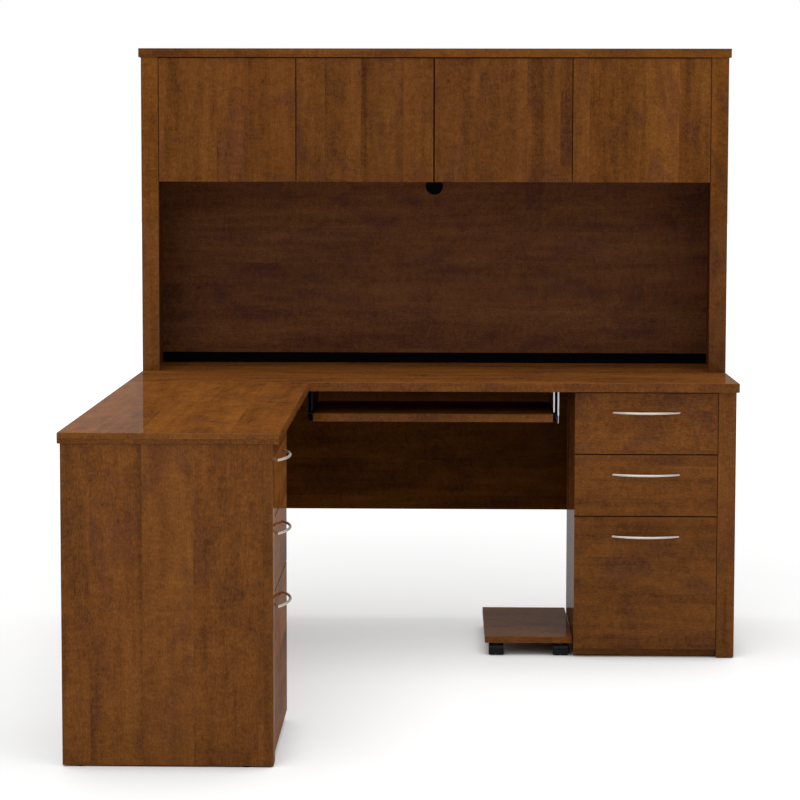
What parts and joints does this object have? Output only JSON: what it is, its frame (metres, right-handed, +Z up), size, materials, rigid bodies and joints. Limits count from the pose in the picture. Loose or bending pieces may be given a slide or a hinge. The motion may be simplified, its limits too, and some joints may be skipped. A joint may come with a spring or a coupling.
{
  "type": "corner desk",
  "caption": "L-shaped laminate corner desk with a door-fronted hutch, drawer pedestals, a pull-out keyboard shelf and a computer trolley.",
  "frame": {"origin": "on the floor, at the middle of the desk's overall outline", "axes": "+X to the sitter's right along the wall, +Y towards the wall, +Z up; the return comes forward (-Y) on the left (-X)"},
  "size_m": [1.705, 1.763, 1.7025],
  "materials": {
    "laminate": "satin reddish-brown cherry woodgrain laminate",
    "drawer_board": "pale melamine board",
    "black_plastic": "matte black",
    "nickel": "satin nickel",
    "steel": "zinc-plated steel",
    "caster_plastic": "moulded black",
    "caster_tread": "moulded black tread"
  },
  "bodies": {
    "desk": {"main_worktop": "laminate", "return_worktop": "laminate", "joint_plates": "steel", "right_end_panel": "laminate", "left_end_panel": "laminate", "return_end_panel": "laminate", "front_posts": "laminate", "modesty_panels": "laminate", "levelling_glides": "black_plastic", "right_pedestal_carcass": "laminate", "left_pedestal_carcass": "laminate", "drawer_runners": "steel", "hutch_top": "laminate", "hutch_sides": "laminate", "hutch_posts": "laminate", "hutch_shelf": "laminate", "hutch_partition": "laminate", "hutch_back_panel": "laminate", "cable_strip": "black_plastic", "cable_grommet": "black_plastic", "hinge_fittings": "steel", "keyboard_hangers": "steel"},
    "right_top_drawer": {"right_top_drawer_front": "laminate", "right_top_drawer_handle": "nickel", "right_top_drawer_box": "drawer_board"},
    "right_middle_drawer": {"right_middle_drawer_front": "laminate", "right_middle_drawer_handle": "nickel", "right_middle_drawer_box": "drawer_board"},
    "right_file_drawer": {"right_file_drawer_front": "laminate", "right_file_drawer_handle": "nickel", "right_file_drawer_box": "drawer_board"},
    "left_top_drawer": {"left_top_drawer_front": "laminate", "left_top_drawer_handle": "nickel", "left_top_drawer_box": "drawer_board"},
    "left_middle_drawer": {"left_middle_drawer_front": "laminate", "left_middle_drawer_handle": "nickel", "left_middle_drawer_box": "drawer_board"},
    "left_file_drawer": {"left_file_drawer_front": "laminate", "left_file_drawer_handle": "nickel", "left_file_drawer_box": "drawer_board"},
    "door_1": {"door_1": "laminate", "door_1_hinge_cups": "nickel"},
    "door_2": {"door_2": "laminate", "door_2_hinge_cups": "nickel"},
    "door_3": {"door_3": "laminate", "door_3_hinge_cups": "nickel"},
    "door_4": {"door_4": "laminate", "door_4_hinge_cups": "nickel"},
    "keyboard_tray": {"keyboard_shelf": "laminate", "keyboard_slides": "steel"},
    "trolley": {"trolley_base": "laminate"},
    "caster_front_left_swivel": {"caster_front_left_fork": "caster_plastic"},
    "caster_front_left_roller": {"caster_front_left_wheels": "caster_tread"},
    "caster_front_right_swivel": {"caster_front_right_fork": "caster_plastic"},
    "caster_front_right_roller": {"caster_front_right_wheels": "caster_tread"},
    "caster_rear_left_swivel": {"caster_rear_left_fork": "caster_plastic"},
    "caster_rear_left_roller": {"caster_rear_left_wheels": "caster_tread"},
    "caster_rear_right_swivel": {"caster_rear_right_fork": "caster_plastic"},
    "caster_rear_right_roller": {"caster_rear_right_wheels": "caster_tread"}
  },
  "joints": [
    {"name": "right_top_drawer_slide", "type": "slide", "parent": "desk", "child": "right_top_drawer", "axis": [0, -1, 0], "range_m": [0, 0.27]},
    {"name": "right_middle_drawer_slide", "type": "slide", "parent": "desk", "child": "right_middle_drawer", "axis": [0, -1, 0], "range_m": [0, 0.27]},
    {"name": "right_file_drawer_slide", "type": "slide", "parent": "desk", "child": "right_file_drawer", "axis": [0, -1, 0], "range_m": [0, 0.34]},
    {"name": "left_top_drawer_slide", "type": "slide", "parent": "desk", "child": "left_top_drawer", "axis": [1, 0, 0], "range_m": [0, 0.27]},
    {"name": "left_middle_drawer_slide", "type": "slide", "parent": "desk", "child": "left_middle_drawer", "axis": [1, 0, 0], "range_m": [0, 0.27]},
    {"name": "left_file_drawer_slide", "type": "slide", "parent": "desk", "child": "left_file_drawer", "axis": [1, 0, 0], "range_m": [0, 0.34]},
    {"name": "door_1_hinge", "type": "hinge", "parent": "desk", "child": "door_1", "pos_m": [-0.795, 0.5875, 1.497], "axis": [0, 0, -1], "range_deg": [0, 105]},
    {"name": "door_2_hinge", "type": "hinge", "parent": "desk", "child": "door_2", "pos_m": [-0.002, 0.5875, 1.497], "axis": [0, 0, 1], "range_deg": [0, 90]},
    {"name": "door_3_hinge", "type": "hinge", "parent": "desk", "child": "door_3", "pos_m": [0.002, 0.5875, 1.497], "axis": [0, 0, -1], "range_deg": [0, 90]},
    {"name": "door_4_hinge", "type": "hinge", "parent": "desk", "child": "door_4", "pos_m": [0.795, 0.5875, 1.497], "axis": [0, 0, 1], "range_deg": [0, 105]},
    {"name": "keyboard_tray_slide", "type": "slide", "parent": "desk", "child": "keyboard_tray", "axis": [0, -1, 0], "range_m": [0, 0.26]},
    {"name": "trolley_roll_out", "type": "slide", "parent": "desk", "child": "trolley", "axis": [0, -1, 0], "range_m": [0, 0.41]},
    {"name": "caster_front_left_swivel", "type": "hinge", "parent": "trolley", "child": "caster_front_left_swivel", "pos_m": [0.1795, 0.324, 0.036], "axis": [0, 0, 1], "continuous": true},
    {"name": "caster_front_left_spin", "type": "hinge", "parent": "caster_front_left_swivel", "child": "caster_front_left_roller", "pos_m": [0.1795, 0.316, 0.015], "axis": [1, 0, 0], "continuous": true},
    {"name": "caster_front_right_swivel", "type": "hinge", "parent": "trolley", "child": "caster_front_right_swivel", "pos_m": [0.359, 0.324, 0.036], "axis": [0, 0, 1], "continuous": true},
    {"name": "caster_front_right_spin", "type": "hinge", "parent": "caster_front_right_swivel", "child": "caster_front_right_roller", "pos_m": [0.359, 0.316, 0.015], "axis": [1, 0, 0], "continuous": true},
    {"name": "caster_rear_left_swivel", "type": "hinge", "parent": "trolley", "child": "caster_rear_left_swivel", "pos_m": [0.1795, 0.688, 0.036], "axis": [0, 0, 1], "continuous": true},
    {"name": "caster_rear_left_spin", "type": "hinge", "parent": "caster_rear_left_swivel", "child": "caster_rear_left_roller", "pos_m": [0.1795, 0.68, 0.015], "axis": [1, 0, 0], "continuous": true},
    {"name": "caster_rear_right_swivel", "type": "hinge", "parent": "trolley", "child": "caster_rear_right_swivel", "pos_m": [0.359, 0.688, 0.036], "axis": [0, 0, 1], "continuous": true},
    {"name": "caster_rear_right_spin", "type": "hinge", "parent": "caster_rear_right_swivel", "child": "caster_rear_right_roller", "pos_m": [0.359, 0.68, 0.015], "axis": [1, 0, 0], "continuous": true}
  ]
}
